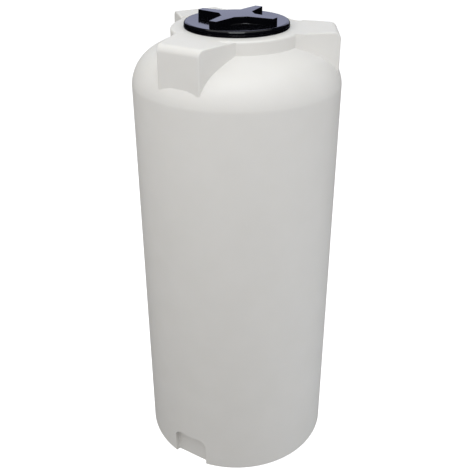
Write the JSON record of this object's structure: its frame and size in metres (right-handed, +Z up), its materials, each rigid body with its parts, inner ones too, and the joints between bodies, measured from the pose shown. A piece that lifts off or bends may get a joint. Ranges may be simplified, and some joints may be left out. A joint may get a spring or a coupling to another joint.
{
  "type": "storage tank",
  "caption": "Upright moulded polyethylene tank with a domed shoulder, flat-faced bosses, an outlet recess and a black screw lid with a cross grip, for storing water or other liquids.",
  "frame": {"origin": "middle of the base, on the floor", "axes": "+Z up along the tank's axis, -Y out of the outlet recess and the front boss"},
  "size_m": [0.68, 0.68, 1.6119],
  "materials": {
    "moulded_polyethylene": "satin off-white, as rotationally moulded",
    "lid_plastic": "glossy blue-black, injection moulded",
    "seal_rubber": "matt black",
    "stainless_steel": "bright, as drawn"
  },
  "bodies": {
    "tank": {"tank_shell": "moulded_polyethylene", "collar_gasket": "seal_rubber", "neck_collar": "lid_plastic", "backing_ring": "lid_plastic", "collar_screws": "stainless_steel", "collar_washers": "stainless_steel", "collar_nuts": "stainless_steel"},
    "lid_seal": {"lid_gasket": "seal_rubber"},
    "lid": {"screw_lid": "lid_plastic", "vent_screen": "stainless_steel", "vent_retainer": "lid_plastic", "vent_screws": "stainless_steel"}
  },
  "joints": [
    {"name": "lid_lift", "type": "slide", "parent": "tank", "child": "lid_seal", "axis": [0, 0, 1], "range_m": [0, 0.024]},
    {"name": "lid_turn", "type": "hinge", "parent": "lid_seal", "child": "lid", "pos_m": [0, 0, 1.59], "axis": [0, 0, 1], "range_deg": [0, 720]}
  ],
  "couplings": [
    {"joint": "lid_lift", "follows": "lid_turn", "m_per_rad": 0.0019099}
  ]
}
